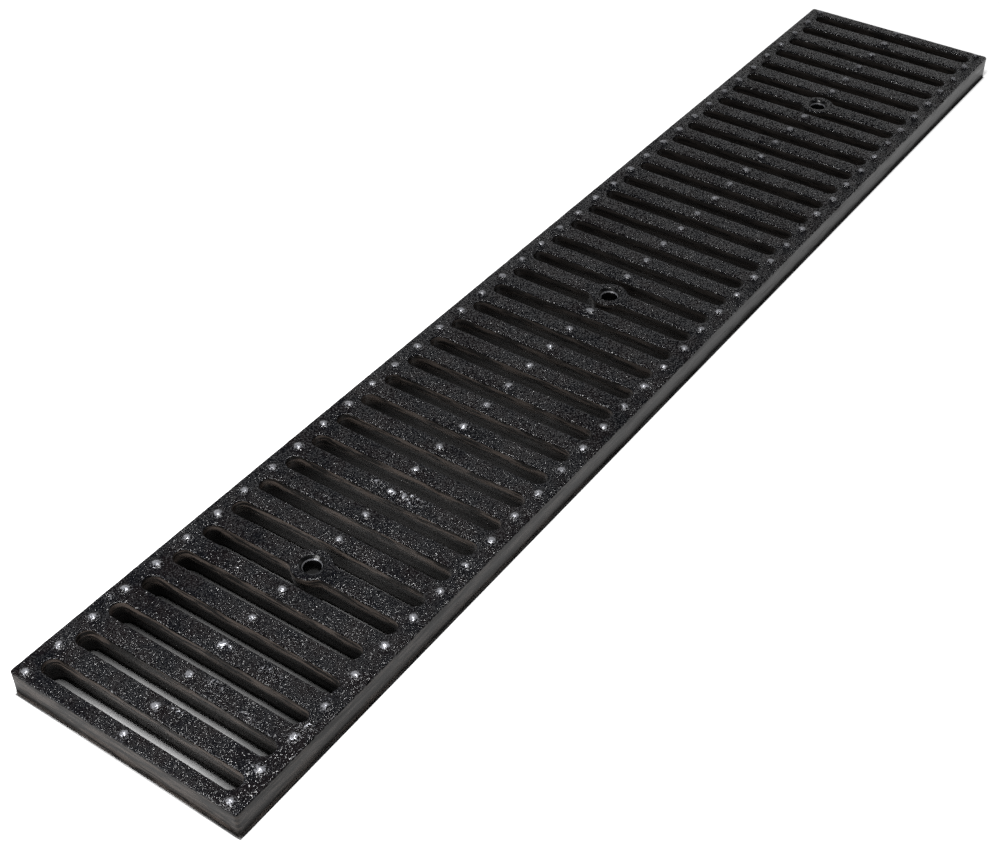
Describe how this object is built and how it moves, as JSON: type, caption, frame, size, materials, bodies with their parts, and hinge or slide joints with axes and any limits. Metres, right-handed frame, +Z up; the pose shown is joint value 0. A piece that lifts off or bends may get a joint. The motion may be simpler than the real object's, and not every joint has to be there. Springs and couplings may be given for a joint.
{
  "type": "channel drain grate",
  "caption": "Long narrow cast-iron grate for a floor drain channel: cross bars with raised anti-slip nubs, and countersunk bolt holes in bosses on the centreline.",
  "frame": {"origin": "middle of the underside, on the plane that the grate lies on", "axes": "+X along the grate, +Y across it along the bars, +Z up out of the walking face"},
  "size_m": [0.6032, 0.1048, 0.0138],
  "materials": {
    "cast_iron": "sand-cast iron dipped in black bitumen paint, semi-gloss"
  },
  "bodies": {
    "root": {"grate": "cast_iron"}
  },
  "joints": []
}
